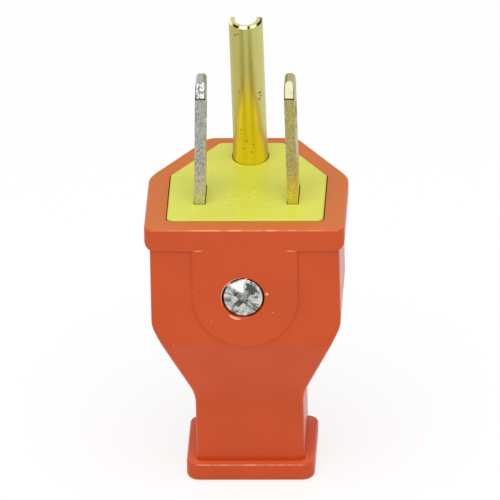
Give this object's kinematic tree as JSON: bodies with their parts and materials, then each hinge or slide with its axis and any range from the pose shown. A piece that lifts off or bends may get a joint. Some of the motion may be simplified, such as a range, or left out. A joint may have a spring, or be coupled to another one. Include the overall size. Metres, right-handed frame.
{
  "type": "straight blade plug",
  "caption": "Grounded straight blade plug: moulded housing with a side screw, raised face, two flat blades and a folded ground pin.",
  "frame": {"origin": "centre of the bounding box in plan, on the flat of the cord-end flange", "axes": "+Z from the cord end to the contacts, +X from the neutral blade to the hot blade, +Y from the housing screw's side to the ground pin"},
  "size_m": [0.0274, 0.0313, 0.0604],
  "materials": {
    "orange_housing": "satin moulded thermoplastic",
    "yellow_face": "satin moulded nylon",
    "carrier_plastic": "moulded thermoset",
    "plated_brass": "nickel plated, stamped",
    "bare_brass": "stamped, sheared edges",
    "zinc_steel": "bright zinc plated",
    "green_steel": "green finish on a steel screw"
  },
  "bodies": {
    "root": {"housing": "orange_housing", "plug_face": "yellow_face", "contact_carrier": "carrier_plastic", "neutral_blade": "plated_brass", "hot_blade": "bare_brass", "ground_pin": "bare_brass", "housing_screw": "zinc_steel", "housing_nut": "zinc_steel", "carrier_screw": "zinc_steel", "neutral_terminal_screw": "zinc_steel", "hot_terminal_screw": "bare_brass", "ground_terminal_screw": "green_steel", "neutral_wire_clamp": "zinc_steel", "hot_wire_clamp": "bare_brass", "ground_wire_clamp": "bare_brass", "cord_grip_left": "carrier_plastic", "cord_grip_right": "carrier_plastic"}
  },
  "joints": []
}
